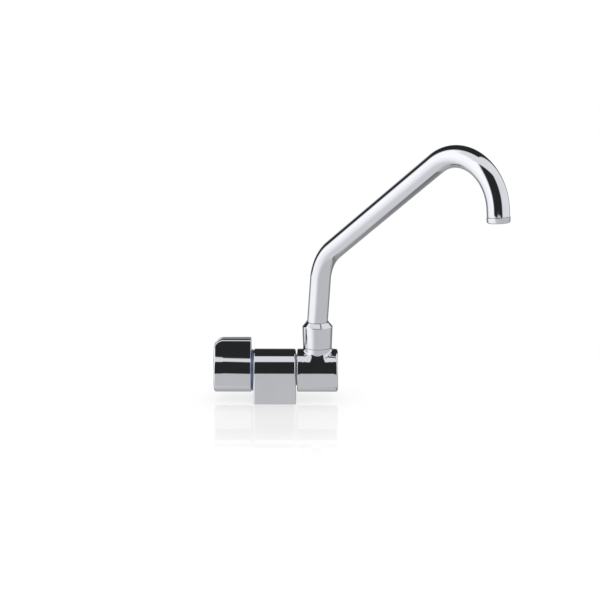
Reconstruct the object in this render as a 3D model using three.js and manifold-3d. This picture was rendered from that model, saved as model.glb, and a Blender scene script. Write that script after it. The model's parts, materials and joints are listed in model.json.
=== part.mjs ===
// Fold-down cold-water tap for a caravan or boat sink.
//
// Millimetres, +Z up. The origin is the centre of the mounting block's base. The body's axis
// runs along X at AXIS_Z above the base: the control knob is at -X, the elbow that carries the
// spout is at +X, and the user stands at -Y. Inside the groups below, positions along the body
// are X, and heights are measured from the body's axis.

import * as THREE from "three";
import { mergeVertices } from "three/addons/utils/BufferGeometryUtils.js";
import Module from "manifold-3d";

const wasm = await Module();
wasm.setup();

// ---- Driving dimensions, in millimetres and degrees ----

const GAP = 0.3; // clearance that neighbouring pieces keep
const WIDE = 40; // sides of a wide turned surface
const NARROW = 20; // sides of a narrow turned surface
const TUBE_SIDES = 24; // sides of the spout's tube, and of the spigot
const THROUGH = 1; // how far a cutter passes the face that it opens

// The line of the body
const AXIS_Z = 22.5; // height of the body's axis above the base
const BODY_R = 16.5; // outside radius of the knob, the block's crown and the elbow
const BLOCK_HALF = 16; // half of the block's length
const BLOCK_EDGE_R = 1.5; // rounding of the block's upright edges
const NECK_R = 12; // the block's neck, which carries the index ring
const NECK_END = -20.5;
const RING_LEFT = -17.5; // the index ring
const RING_R = 15.7;
const KNOB_RIGHT = -17.8;
const KNOB_LEFT = -46;
const ELBOW_LEFT = 17;
const ELBOW_RIGHT = 47.8;
const SPOUT_X = 32.3; // the spout's swivel axis

// Bores of the block
const VALVE_R = 10.5; // holds the valve housing
const VALVE_END = 2;
const SEAT_HOLE_R = 4;
const SEAT_WALL = 3; // thickness of the wall between valve and spigot
const SPIGOT_BORE_R = 7;
const INLET_R = 7.5; // G 3/8 inlet socket in the base, at its thread's inside
const INLET_DEPTH = 10;
const INLET_PORT_R = 3.5; // from the socket up into the valve bore
const INLET_PORT_X = -3;
const GASKET_IN = 10.8;
const GASKET_OUT = 12.7;
const GASKET_TALL = 1;

// Valve
const SPINDLE_R = 4;
const GUIDE_R = SPINDLE_R + GAP; // the housing's bore around the spindle
const SQUARE = 5.6; // across the spindle's square end
const DISC_R = 6.6; // ceramic discs
const DISC_BORE_R = 7; // the housing's bore around the discs
const GUIDE_END = -31; // the housing's outer end
const HEX_LEFT = -24.9;
const HEX_R = 12.6; // the housing's hexagon, over its corners
const HOUSING_SEAL = -12.5; // middle of the housing's O-ring
const HOUSING_SEAL_HALF = 1.1; // half of its groove's width
const SPINDLE_SEAL = -23.15; // middle of the spindle's O-ring
const SPINDLE_SEAL_HALF = 0.85;
const CLIP_X = -32.2; // spindle clip, just outside the guide
const CLIP_THICK = 0.7;
const CLIP_R = 5.6;
const SPINDLE_HEAD = [-11.7, -9.3]; // the spindle's wide head
const SQUARE_LEFT = -41;
const BLADE_RIGHT = -7.2; // the blade that turns the moving disc
const BLADE_HALF = [1.3, 4.5]; // half of its thickness and of its width
const MOVING_DISC = [-9, -5.6];
const FIXED_DISC = [-5.3, -2.3];
const SEAL_LEFT = -2; // seat seal
const SEAL_IN = 4.6;

// Knob
const WING_TOP = 25; // top of the wing above the axis
const WING_THICK = 6.8; // where its hollow sides would be upright, above its top
const WING_CORNER_R = 7.5; // the wing's corner at the free end
const WING_TANGENT = 39; // where the wing's sweep meets the round body, degrees above level
const KNOB_EDGE_R = 1.6;
const KNOB_CAVITY_R = 14;
const KNOB_END_WALL = 3;
const HUB_R = 7.5;
const HUB_RIGHT = -33.6;
const SOCKET_LEFT = -43.3; // end of the hub's square socket
const GRUB_X = -38.5; // the grub screw that holds the knob
const GRUB_R = 1.4;
const GRUB_BOTTOM = -7;
const KEY_HOLE_R = 2.2;

// Hinge between the block and the elbow
const SPIGOT_R = 8;
const SPIGOT_BORE = 4.5;
const SPIGOT_END = 42.5;
const SPIGOT_WATER_END = 35.6;
const SPIGOT_SEALS = [26.2, 37.6]; // middles of the spigot's O-rings
const SPIGOT_SEAL_FLOOR = 6.6;
const SEAL_HALF = 1; // half of the width of the spigot's and spout's grooves
const SPIGOT_PORT_R = 2.6;
const SCREW_R = 2.3;
const SCREW_LEFT = 37.4;
const SCREW_HEAD_R = 4.8;
const SCREW_HEAD_TALL = 2.2;
const RUN_R = SPIGOT_R + GAP; // the elbow's running bore
const BUSH_POCKET_R = 10;
const POCKET_LEFT_END = 21.5; // floors of the two bush pockets
const POCKET_RIGHT_END = 39;
const THRUST_R = 11.6;
const SPRING_X = 42.1; // wave spring
const WASHER_THICK = 0.9; // retaining washer
const WASHER_R = 12.6;
const CAP_RIM_LEFT = 44.2;
const CAP_FACE_LEFT = 46.5;
const CAP_RIM_THICK = 1.3;
const RECESS_R = 13.2; // pocket for the washers in the elbow's outer end
const RECESS_FLOOR = 41.5;
const CHAMBER = [28.5, 36.1]; // water chamber around the spigot's ports
const CHAMBER_R = 10.5;
const STOP_R = 13.2; // stop pin's distance from the axis
const STOP_ANGLE = 45; // stop pin's angle, from +Y towards +Z
const STOP_PIN_R = 1;
const STOP_PIN_DEEP = 4; // in the block
const STOP_PIN_OUT = 3.2; // into the elbow's slot
const FOLD = 90; // how far the elbow folds

// Collar and spout
const BOSS_R = 10.9;
const BOSS_TOP = 18.3;
const BOSS_NECK_R = 9.8;
const BOSS_NECK_TOP = 29;
const RISER_R = 3.8; // waterway from the chamber up to the spout's tail
const RISER_TOP = 11.5;
const SPOUT_BORE_R = 7.7;
const FLANGE_SEAT = 24;
const FLANGE_R = 8.75; // of the spout's tail and its bush
const FLANGE_BORE_R = 9.05;
const COLLAR_R = 11.45; // at the collar's widest
const COLLAR_CHAMFER = 34.8;
const COLLAR_TOP = 38;
const COLLAR_TOP_R = 8.7;
const COLLAR_LIP = 31; // underside of the collar's inward lip
const BUSH_TOP = 30.7;
const TUBE_R = 7.8;
const TUBE_IN = 6.8;
const TUBE_START = 27.7;
const TAIL_BOTTOM = 11.8; // the spout's tail
const TAIL_TOP = 35.5;
const TAIL_R = 7.4;
const TAIL_IN = 4.7;
const TAIL_SEALS = [14.2, 19.8]; // middles of its O-rings
const TAIL_SEAL_FLOOR = 6;
const TUBE_UPRIGHT = 8.3; // upright stretch inside the collar
const LEAN = 5.2; // the leg leans towards the outlet
const LEAN_R = 40;
const LEG = 32.1;
const BEND_R = 34.5; // both main bends
const SLOPE = 37; // of the long stretch, above level
const DIAGONAL = 122.5;
const DROP = 85.3; // of the outlet, below level
const END_STRAIGHT = 5.4;
const STATION_TURN = 10; // most that the tube turns between two sections
const REST_SWIVEL = -45; // the spout's direction from +X, at rest
const OUTLET_R = 8.2; // outlet ring, with heights measured out of the tube's end
const OUTLET_IN = 4.7;
const OUTLET_BOTTOM = 0.2;
const OUTLET_TOP = 4.2;
const OUTLET_PLUG = -6; // the end of its plug inside the tube
const OUTLET_SEAL = -3.6; // middle of its O-ring
const OUTLET_SEAL_HALF = 0.8;
const OUTLET_SEAL_FLOOR = 5.4;
const MOUTH_R = 6.2; // wide part of the outlet ring's bore
const MOUTH_FLOOR = 1.6;
const STRAIGHTENER = [-3, 3.3]; // flow straightener
const STRAIGHTENER_SHOULDER = 1.9;
const STRAIGHTENER_R = 5.3;
const STRAIGHTENER_HOLES = 6; // round one in the middle
const STRAIGHTENER_HOLE_R = 0.9;

const degrees = THREE.MathUtils.degToRad;

// ---- Materials ----

const finish = (color, roughness, metalness) => ({ color, roughness, metalness });
const CHROME = finish(0xd5d8dc, 0.06, 1);
const BRASS = finish(0xc8a45c, 0.35, 1);
const STEEL = finish(0xa9adb2, 0.3, 1);
const RUBBER = finish(0x1b1b1d, 0.7, 0);
const ACETAL = finish(0xe9e7df, 0.45, 0);
const BLUE_PLASTIC = finish(0x4267b2, 0.35, 0);
const CERAMIC = finish(0xf1efe8, 0.2, 0);

// ---- Solids ----

// Turns a closed geometry into a solid that can be joined and cut.
function solid(geometry) {
  geometry.deleteAttribute("normal");
  geometry.deleteAttribute("uv");
  const merged = mergeVertices(geometry, 1e-4);
  const corners = merged.index.array;
  const triangles = [];
  for (let i = 0; i < corners.length; i += 3) {
    const [a, b, c] = corners.slice(i, i + 3);
    const isEmpty = a === b || b === c || c === a; // as at the pole of a turned shape
    if (!isEmpty) triangles.push(a, b, c);
  }
  return new wasm.Manifold(
    new wasm.Mesh({
      numProp: 3,
      vertProperties: new Float32Array(merged.attributes.position.array),
      triVerts: new Uint32Array(triangles),
    }),
  );
}

// A profile of [position along the axis, radius] pairs, turned about that axis. The profile
// closes on itself or on the axis.
function lathe(profile, sides) {
  const points = profile.map(([along, radius]) => new THREE.Vector2(radius, along));
  if (THREE.ShapeUtils.isClockWise(points)) points.reverse();
  points.push(points[0].clone());
  return new THREE.LatheGeometry(points, sides);
}

// Turned about the body's axis.
const turnedX = (profile, sides = WIDE) => solid(lathe(profile, sides).rotateZ(-Math.PI / 2));

// Turned about an upright axis at x.
const turnedZ = (profile, x = 0, sides = NARROW) =>
  solid(lathe(profile, sides).rotateX(Math.PI / 2).translate(x, 0, 0));

// A plain cylinder's profile, and a ring's.
const rodProfile = (from, to, radius) => [
  [from, 0],
  [from, radius],
  [to, radius],
  [to, 0],
];
const ringProfile = (from, to, inside, outside) => [
  [from, inside],
  [from, outside],
  [to, outside],
  [to, inside],
];

// Points of an arc in a profile, from one angle to another.
function arc(along, across, radius, from, to, steps = 4) {
  return Array.from({ length: steps + 1 }, (_, i) => {
    const angle = degrees(from + ((to - from) * i) / steps);
    return [along + radius * Math.cos(angle), across + radius * Math.sin(angle)];
  });
}

// An outline in the YZ plane, extruded along X.
function extrudedX(outline, from, to, curveSegments = WIDE / 4) {
  const geometry = new THREE.ExtrudeGeometry(outline, {
    depth: to - from,
    bevelEnabled: false,
    curveSegments,
  });
  const towardsX = new THREE.Matrix4().makeBasis(
    new THREE.Vector3(0, 1, 0),
    new THREE.Vector3(0, 0, 1),
    new THREE.Vector3(1, 0, 0),
  );
  return solid(geometry.applyMatrix4(towardsX).translate(from, 0, 0));
}

// A box between two corners.
function box(low, high) {
  const size = high.map((value, i) => value - low[i]);
  const middle = high.map((value, i) => (value + low[i]) / 2);
  return solid(new THREE.BoxGeometry(...size).translate(...middle));
}

// A rubber ring about the X axis or about the Z axis.
function ring(axis, along, radius, section) {
  const geometry = new THREE.TorusGeometry(radius, section, 6, NARROW);
  if (axis === "x") geometry.rotateY(Math.PI / 2).translate(along, 0, 0);
  else geometry.translate(0, 0, along);
  return solid(geometry);
}

// A named mesh made from a solid.
function piece(name, shape, material) {
  const mesh = shape.getMesh();
  const geometry = new THREE.BufferGeometry();
  geometry.setAttribute("position", new THREE.BufferAttribute(mesh.vertProperties, 3));
  geometry.setIndex(new THREE.BufferAttribute(mesh.triVerts, 1));
  geometry.computeVertexNormals();
  const node = new THREE.Mesh(geometry, new THREE.MeshStandardMaterial(material));
  node.name = name;
  return node;
}

// ---- Mounting block, fixed ----

function bodyBlock() {
  const section = new THREE.Shape();
  section.moveTo(BODY_R, -AXIS_Z);
  section.lineTo(BODY_R, 0);
  section.absarc(0, 0, BODY_R, 0, Math.PI);
  section.lineTo(-BODY_R, -AXIS_Z);
  const crowned = extrudedX(section, -BLOCK_HALF, BLOCK_HALF);

  const plan = new THREE.Shape();
  const flatX = BLOCK_HALF - BLOCK_EDGE_R;
  const flatY = BODY_R - BLOCK_EDGE_R;
  plan.absarc(flatX, flatY, BLOCK_EDGE_R, 0, Math.PI / 2);
  plan.absarc(-flatX, flatY, BLOCK_EDGE_R, Math.PI / 2, Math.PI);
  plan.absarc(-flatX, -flatY, BLOCK_EDGE_R, Math.PI, 1.5 * Math.PI);
  plan.absarc(flatX, -flatY, BLOCK_EDGE_R, 1.5 * Math.PI, 2 * Math.PI);
  const upright = new THREE.ExtrudeGeometry(plan, {
    depth: AXIS_Z + BODY_R + 2 * THROUGH,
    bevelEnabled: false,
    curveSegments: 4,
  }).translate(0, 0, -AXIS_Z - THROUGH);

  const neck = turnedX(rodProfile(NECK_END, 0, NECK_R));
  const waterway = turnedX([
    [NECK_END - THROUGH, 0],
    [NECK_END - THROUGH, VALVE_R],
    [VALVE_END, VALVE_R],
    [VALVE_END, SEAT_HOLE_R],
    [VALVE_END + SEAT_WALL, SEAT_HOLE_R],
    [VALVE_END + SEAT_WALL, SPIGOT_BORE_R],
    [BLOCK_HALF + THROUGH, SPIGOT_BORE_R],
    [BLOCK_HALF + THROUGH, 0],
  ]);
  const inlet = turnedZ(rodProfile(-AXIS_Z - THROUGH, INLET_DEPTH - AXIS_Z, INLET_R));
  const port = turnedZ(rodProfile(INLET_DEPTH - AXIS_Z - THROUGH, -BODY_R / 2, INLET_PORT_R), INLET_PORT_X);
  const gasketGroove = turnedZ(
    ringProfile(-AXIS_Z - THROUGH, GASKET_TALL + GAP - AXIS_Z, GASKET_IN - GAP, GASKET_OUT + GAP),
    0,
    WIDE,
  );
  return crowned
    .intersect(solid(upright))
    .add(neck)
    .subtract(waterway)
    .subtract(inlet)
    .subtract(port)
    .subtract(gasketGroove)
    .subtract(stopPin(BLOCK_HALF - STOP_PIN_DEEP, BLOCK_HALF + THROUGH, STOP_PIN_R + GAP));
}

function baseGasket() {
  return turnedZ(ringProfile(-AXIS_Z, GASKET_TALL - AXIS_Z, GASKET_IN, GASKET_OUT), 0, WIDE);
}

function indexRing() {
  const right = -BLOCK_HALF - 0.2;
  const edge = 0.3;
  return turnedX([
    [RING_LEFT, NECK_R + GAP],
    [RING_LEFT, RING_R - edge],
    [RING_LEFT + edge, RING_R],
    [right - edge, RING_R],
    [right, RING_R - edge],
    [right, NECK_R + GAP],
  ]);
}

// The stop pin, or the hole that it sits in.
function stopPin(from, to, radius) {
  const y = STOP_R * Math.cos(degrees(STOP_ANGLE));
  const z = STOP_R * Math.sin(degrees(STOP_ANGLE));
  return solid(lathe(rodProfile(from, to, radius), 12).rotateZ(-Math.PI / 2).translate(0, y, z));
}

// ---- Quarter-turn ceramic valve ----

function valveHousing() {
  const outside = VALVE_R - GAP;
  const nose = 7;
  const waist = 8.6;
  const grooveFloor = 8.4;
  const shoulder = -9;
  const end = 1.2;
  const sealLeft = HOUSING_SEAL - HOUSING_SEAL_HALF;
  const sealRight = HOUSING_SEAL + HOUSING_SEAL_HALF;
  const discBoreLeft = SPINDLE_HEAD[0] - GAP;
  const turned = turnedX(
    [
      [GUIDE_END, 0],
      [GUIDE_END, nose],
      [HEX_LEFT, nose],
      [HEX_LEFT, outside],
      [sealLeft, outside],
      [sealLeft, grooveFloor],
      [sealRight, grooveFloor],
      [sealRight, outside],
      [shoulder, outside],
      [shoulder, waist],
      [end, waist],
      [end, 0],
    ],
    NARROW,
  );
  const hexagon = turnedX(rodProfile(HEX_LEFT, NECK_END - GAP, HEX_R), 6);
  const bore = turnedX(
    [
      [GUIDE_END - THROUGH, 0],
      [GUIDE_END - THROUGH, GUIDE_R],
      [discBoreLeft, GUIDE_R],
      [discBoreLeft, DISC_BORE_R],
      [end + THROUGH, DISC_BORE_R],
      [end + THROUGH, 0],
    ],
    NARROW,
  );
  const windowHalf = 3.5;
  const windows = box([-10, -BODY_R, -windowHalf], [-6, BODY_R, windowHalf]);
  return turned.add(hexagon).subtract(bore).subtract(windows);
}

function spindle() {
  const [headLeft, headRight] = SPINDLE_HEAD;
  const left = HUB_RIGHT + 0.4;
  const clipLeft = CLIP_X - 0.2;
  const clipRight = CLIP_X + CLIP_THICK + 0.2;
  const clipFloor = SPINDLE_R - 1;
  const sealFloor = 2.9;
  const turned = turnedX(
    [
      [left, 0],
      [left, SPINDLE_R],
      [clipLeft, SPINDLE_R],
      [clipLeft, clipFloor],
      [clipRight, clipFloor],
      [clipRight, SPINDLE_R],
      [SPINDLE_SEAL - SPINDLE_SEAL_HALF, SPINDLE_R],
      [SPINDLE_SEAL - SPINDLE_SEAL_HALF, sealFloor],
      [SPINDLE_SEAL + SPINDLE_SEAL_HALF, sealFloor],
      [SPINDLE_SEAL + SPINDLE_SEAL_HALF, SPINDLE_R],
      [headLeft, SPINDLE_R],
      [headLeft, DISC_R],
      [headRight, DISC_R],
      [headRight, 0],
    ],
    NARROW,
  );
  const half = SQUARE / 2;
  const squareEnd = box([SQUARE_LEFT, -half, -half], [left + 0.6, half, half]);
  const [bladeY, bladeZ] = BLADE_HALF;
  const blade = box([headRight - 0.7, -bladeY, -bladeZ], [BLADE_RIGHT, bladeY, bladeZ]);
  return turned.add(squareEnd).add(blade);
}

function spindleClip() {
  const mouth = degrees(35);
  const outline = new THREE.Shape();
  outline.absarc(0, 0, CLIP_R, mouth, 2 * Math.PI - mouth, false);
  outline.absarc(0, 0, SPINDLE_R - 0.7, 2 * Math.PI - mouth, mouth, true);
  return extrudedX(outline, CLIP_X, CLIP_X + CLIP_THICK, 9);
}

// Two lobes that cover the fixed disc's ports when the valve is shut, with a slot for the
// spindle's blade.
function movingDisc() {
  const outline = new THREE.Shape();
  const quarter = Math.PI / 2;
  const hubR = 3;
  outline.absarc(0, 0, DISC_R, 0.5 * quarter, 1.5 * quarter, false);
  outline.absarc(0, 0, hubR, 1.5 * quarter, 2.5 * quarter, false);
  outline.absarc(0, 0, DISC_R, 2.5 * quarter, 3.5 * quarter, false);
  outline.absarc(0, 0, hubR, 3.5 * quarter, 4.5 * quarter, false);
  const [left, right] = MOVING_DISC;
  const slotY = BLADE_HALF[0] + GAP;
  const slotZ = BLADE_HALF[1] + GAP;
  const slot = box([left - THROUGH, -slotY, -slotZ], [BLADE_RIGHT + GAP, slotY, slotZ]);
  return extrudedX(outline, left, right, 8).subtract(slot);
}

// A disc with two ports, each a part of a ring.
function fixedDisc() {
  const portHalf = degrees(32);
  const portIn = 2.8;
  const portOut = 5.6;
  const outline = new THREE.Shape();
  outline.absarc(0, 0, DISC_R, 0, 2 * Math.PI, false);
  for (const middle of [Math.PI / 2, 1.5 * Math.PI]) {
    const port = new THREE.Path();
    port.absarc(0, 0, portOut, middle - portHalf, middle + portHalf, false);
    port.absarc(0, 0, portIn, middle + portHalf, middle - portHalf, true);
    outline.holes.push(port);
  }
  return extrudedX(outline, ...FIXED_DISC);
}

function seatSeal() {
  return turnedX(ringProfile(SEAL_LEFT, VALVE_END - GAP, SEAL_IN, DISC_R), NARROW);
}

// ---- Control knob ----

// The wing's section: a flat top, and hollow sides that sweep down to the round body.
function wingSection() {
  const half = WING_THICK / 2;
  const cos = Math.cos(degrees(WING_TANGENT));
  const sweepR = (BODY_R * cos - half) / (1 - cos); // touches the body and an upright at half
  const centreY = half + sweepR;
  const centreZ = (BODY_R + sweepR) * Math.sin(degrees(WING_TANGENT));
  const top = Math.asin((WING_TOP - centreZ) / sweepR); // the sweep's angle at the wing's top
  const foot = degrees(WING_TANGENT);
  const section = new THREE.Shape();
  section.moveTo(0, 0);
  section.absarc(centreY, centreZ, sweepR, Math.PI + foot, Math.PI - top, true);
  section.absarc(-centreY, centreZ, sweepR, top, -foot, true);
  return section;
}

function controlKnob() {
  const edge = KNOB_EDGE_R;
  const body = turnedX([
    [KNOB_LEFT, 0],
    ...arc(KNOB_LEFT + edge, BODY_R - edge, edge, 180, 90),
    [KNOB_RIGHT - GAP, BODY_R],
    [KNOB_RIGHT, BODY_R - GAP],
    [KNOB_RIGHT, 0],
  ]);

  const side = new THREE.Shape(); // the wing seen from the user's side, X across and height up
  side.moveTo(KNOB_LEFT, 0);
  side.lineTo(KNOB_RIGHT, 0);
  side.lineTo(KNOB_RIGHT, WING_TOP);
  side.absarc(KNOB_LEFT + WING_CORNER_R, WING_TOP - WING_CORNER_R, WING_CORNER_R, Math.PI / 2, Math.PI);
  const sideCut = new THREE.ExtrudeGeometry(side, {
    depth: 2 * BODY_R,
    bevelEnabled: false,
    curveSegments: 8,
  });
  sideCut.rotateX(Math.PI / 2).translate(0, BODY_R, 0);
  const wing = extrudedX(wingSection(), KNOB_LEFT, KNOB_RIGHT, 10).intersect(solid(sideCut));

  const cavityEnd = KNOB_LEFT + KNOB_END_WALL;
  const cavity = turnedX([
    [cavityEnd, HUB_R],
    [cavityEnd, KNOB_CAVITY_R],
    [KNOB_RIGHT + THROUGH, KNOB_CAVITY_R],
    [KNOB_RIGHT + THROUGH, 0],
    [HUB_RIGHT, 0],
    [HUB_RIGHT, HUB_R],
  ]);
  const half = SQUARE / 2 + GAP;
  const socket = box([SOCKET_LEFT, -half, -half], [HUB_RIGHT + THROUGH, half, half]);
  const grubHole = turnedZ(rodProfile(-HUB_R - THROUGH, -half + 0.1, GRUB_R + GAP), GRUB_X, 12);
  const keyHole = turnedZ(rodProfile(-BODY_R - THROUGH, -HUB_R - 2, KEY_HOLE_R), GRUB_X, 16);
  return body.add(wing).subtract(cavity).subtract(socket).subtract(grubHole).subtract(keyHole);
}

function knobGrubScrew() {
  const keyR = 0.8;
  const keyDeep = 1.2;
  const key = turnedZ(rodProfile(GRUB_BOTTOM - THROUGH, GRUB_BOTTOM + keyDeep, keyR), GRUB_X, 6);
  return turnedZ(rodProfile(GRUB_BOTTOM, -SQUARE / 2 - GAP, GRUB_R), GRUB_X, 12).subtract(key);
}

// ---- Hinge spigot and its fasteners, fixed in the block ----

// A groove in an outline, cut from the surface down to a floor.
const groove = (middle, half, surface, floor) => [
  [middle - half, surface],
  [middle - half, floor],
  [middle + half, floor],
  [middle + half, surface],
];

function pivotSpigot() {
  const plugLeft = VALVE_END + SEAT_WALL + GAP;
  const plugR = SPIGOT_BORE_R - GAP;
  const screwHoleR = SCREW_R + GAP;
  const screwHoleLeft = SCREW_LEFT - 0.4;
  const turned = turnedX(
    [
      [SPIGOT_WATER_END, 0],
      [SPIGOT_WATER_END, SPIGOT_BORE],
      [plugLeft, SPIGOT_BORE],
      [plugLeft, plugR],
      [BLOCK_HALF + GAP, plugR],
      [BLOCK_HALF + GAP, SPIGOT_R],
      ...groove(SPIGOT_SEALS[0], SEAL_HALF, SPIGOT_R, SPIGOT_SEAL_FLOOR),
      ...groove(SPIGOT_SEALS[1], SEAL_HALF, SPIGOT_R, SPIGOT_SEAL_FLOOR),
      [SPIGOT_END, SPIGOT_R],
      [SPIGOT_END, screwHoleR],
      [screwHoleLeft, screwHoleR],
      [screwHoleLeft, 0],
    ],
    TUBE_SIDES,
  );
  const across = rodProfile(-SPIGOT_R - THROUGH, SPIGOT_R + THROUGH, SPIGOT_PORT_R);
  const uprightPorts = turnedZ(across, SPOUT_X, 12);
  const crossPorts = solid(lathe(across, 12).translate(SPOUT_X, 0, 0));
  return turned.subtract(uprightPorts).subtract(crossPorts);
}

function thrustWasher() {
  return turnedX(ringProfile(BLOCK_HALF + 0.2, ELBOW_LEFT - 0.2, RUN_R, THRUST_R), TUBE_SIDES);
}

function pivotBush(from, to) {
  return turnedX(ringProfile(from, to, RUN_R, BUSH_POCKET_R - GAP), TUBE_SIDES);
}

// A flat ring with three waves round it, which presses the elbow against the block.
function waveSpring() {
  const halfThick = 0.15;
  const waves = 3;
  const height = 0.25;
  const inside = 9.2;
  const outside = 12.4;
  const profile = ringProfile(SPRING_X - halfThick, SPRING_X + halfThick, inside, outside);
  const geometry = lathe(profile, WIDE).rotateZ(-Math.PI / 2);
  const points = geometry.attributes.position;
  for (let i = 0; i < points.count; i += 1) {
    const angle = Math.atan2(points.getZ(i), points.getY(i));
    points.setX(i, points.getX(i) + height * Math.cos(waves * angle));
  }
  return solid(geometry);
}

function retainingWasher() {
  const left = SPIGOT_END + GAP;
  const inside = SCREW_R + 0.4;
  return turnedX(ringProfile(left, left + WASHER_THICK, inside, WASHER_R), TUBE_SIDES);
}

function retainingScrew() {
  const headLeft = SPIGOT_END + GAP + WASHER_THICK + 0.2;
  const headRight = headLeft + SCREW_HEAD_TALL;
  const edge = 0.5;
  const keyR = 1.8;
  const keyDeep = 1.4;
  const turned = turnedX(
    [
      [SCREW_LEFT, 0],
      [SCREW_LEFT, SCREW_R],
      [headLeft, SCREW_R],
      [headLeft, SCREW_HEAD_R],
      [headRight - edge, SCREW_HEAD_R],
      [headRight, SCREW_HEAD_R - edge],
      [headRight, 0],
    ],
    NARROW,
  );
  const key = turnedX(rodProfile(headRight - keyDeep, headRight + THROUGH, keyR), 6);
  return turned.subtract(key);
}

// ---- Elbow, folds about the body's axis ----

// The slot in the elbow's inner face that the stop pin runs in.
function stopSlot() {
  const half = STOP_PIN_R + GAP;
  const start = degrees(STOP_ANGLE - FOLD);
  const end = degrees(STOP_ANGLE);
  const endCentre = (angle) => [STOP_R * Math.cos(angle), STOP_R * Math.sin(angle)];
  const outline = new THREE.Shape();
  outline.absarc(0, 0, STOP_R + half, start, end, false);
  outline.absarc(...endCentre(end), half, end, end + Math.PI, false);
  outline.absarc(0, 0, STOP_R - half, end, start, true);
  outline.absarc(...endCentre(start), half, start + Math.PI, start + 2 * Math.PI, false);
  return extrudedX(outline, ELBOW_LEFT - THROUGH, ELBOW_LEFT + STOP_PIN_OUT + GAP, 10);
}

function swivelElbow() {
  const edge = 1.5;
  const barrel = turnedX([
    [ELBOW_LEFT, 0],
    [ELBOW_LEFT, BODY_R - GAP],
    [ELBOW_LEFT + GAP, BODY_R],
    ...arc(ELBOW_RIGHT - edge, BODY_R - edge, edge, 90, 0),
    [ELBOW_RIGHT, 0],
  ]);
  const boss = turnedZ(
    [
      [0, 0],
      [0, BOSS_R],
      [BOSS_TOP, BOSS_R],
      [BOSS_TOP, BOSS_NECK_R],
      [BOSS_NECK_TOP, BOSS_NECK_R],
      [BOSS_NECK_TOP, 0],
    ],
    SPOUT_X,
    36,
  );
  const bore = turnedX(
    [
      [ELBOW_LEFT - THROUGH, 0],
      [ELBOW_LEFT - THROUGH, BUSH_POCKET_R],
      [POCKET_LEFT_END, BUSH_POCKET_R],
      [POCKET_LEFT_END, RUN_R],
      [CHAMBER[0], RUN_R],
      [CHAMBER[0], CHAMBER_R],
      [CHAMBER[1], CHAMBER_R],
      [CHAMBER[1], RUN_R],
      [POCKET_RIGHT_END, RUN_R],
      [POCKET_RIGHT_END, BUSH_POCKET_R],
      [RECESS_FLOOR, BUSH_POCKET_R],
      [RECESS_FLOOR, RECESS_R],
      [ELBOW_RIGHT + THROUGH, RECESS_R],
      [ELBOW_RIGHT + THROUGH, 0],
    ],
    TUBE_SIDES,
  );
  const riser = turnedZ(
    [
      [0, 0],
      [0, RISER_R],
      [RISER_TOP, RISER_R],
      [RISER_TOP, SPOUT_BORE_R],
      [FLANGE_SEAT, SPOUT_BORE_R],
      [FLANGE_SEAT, FLANGE_BORE_R],
      [BOSS_NECK_TOP + THROUGH, FLANGE_BORE_R],
      [BOSS_NECK_TOP + THROUGH, 0],
    ],
    SPOUT_X,
  );
  return barrel.add(boss).subtract(bore).subtract(riser).subtract(stopSlot());
}

function elbowEndCap() {
  const outside = RECESS_R - GAP;
  const inside = outside - CAP_RIM_THICK;
  const right = ELBOW_RIGHT - 0.2;
  const edge = 0.4;
  return turnedX([
    [CAP_FACE_LEFT, 0],
    [CAP_FACE_LEFT, inside],
    [CAP_RIM_LEFT, inside],
    [CAP_RIM_LEFT, outside],
    [right - edge, outside],
    [right, outside - edge],
    [right, 0],
  ]);
}

function collarNut() {
  const foot = BOSS_TOP + GAP;
  return turnedZ(
    [
      [foot, BOSS_R],
      [COLLAR_CHAMFER, COLLAR_R],
      [COLLAR_TOP, COLLAR_TOP_R],
      [COLLAR_TOP, TUBE_R + GAP],
      [COLLAR_LIP, TUBE_R + GAP],
      [COLLAR_LIP, BOSS_NECK_R + GAP],
      [foot, BOSS_NECK_R + GAP],
    ],
    SPOUT_X,
    36,
  );
}

function spoutBush() {
  return turnedZ(
    [
      [TUBE_START, TUBE_R + GAP],
      [TUBE_START, FLANGE_R],
      [BOSS_NECK_TOP + GAP, FLANGE_R],
      [BOSS_NECK_TOP + GAP, BOSS_NECK_R],
      [BUSH_TOP, BOSS_NECK_R],
      [BUSH_TOP, TUBE_R + GAP],
    ],
    SPOUT_X,
  );
}

// ---- Spout, swivels about the collar's axis ----

// The stations of the spout's centre line: X is the reach and Z the height above the body's axis.
function spoutStations() {
  const stations = [];
  const at = new THREE.Vector3(0, 0, TUBE_START);
  let heading = 90; // degrees above level
  const tangent = () => new THREE.Vector3(Math.cos(degrees(heading)), 0, Math.sin(degrees(heading)));
  const mark = () => stations.push({ point: at.clone(), tangent: tangent() });
  const straight = (length) => {
    at.addScaledVector(tangent(), length);
    mark();
  };
  const bend = (radius, turn) => {
    const steps = Math.ceil(turn / STATION_TURN);
    for (let i = 0; i < steps; i += 1) {
      const before = tangent();
      heading -= turn / steps;
      const chord = 2 * radius * Math.sin(degrees(turn / steps / 2));
      at.addScaledVector(before.add(tangent()).normalize(), chord);
      mark();
    }
  };
  mark();
  straight(TUBE_UPRIGHT);
  bend(LEAN_R, LEAN);
  straight(LEG);
  bend(BEND_R, 90 - LEAN - SLOPE);
  straight(DIAGONAL);
  bend(BEND_R, SLOPE + DROP);
  straight(END_STRAIGHT);
  return stations;
}

// A path that an extrusion follows with one section at each station.
class StationPath extends THREE.Curve {
  constructor(stations) {
    super();
    this.stations = stations;
  }

  station(share) {
    return this.stations[Math.round(share * (this.stations.length - 1))];
  }

  getPointAt(share) {
    return this.station(share).point.clone();
  }

  getTangentAt(share) {
    return this.station(share).tangent.clone();
  }
}

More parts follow.
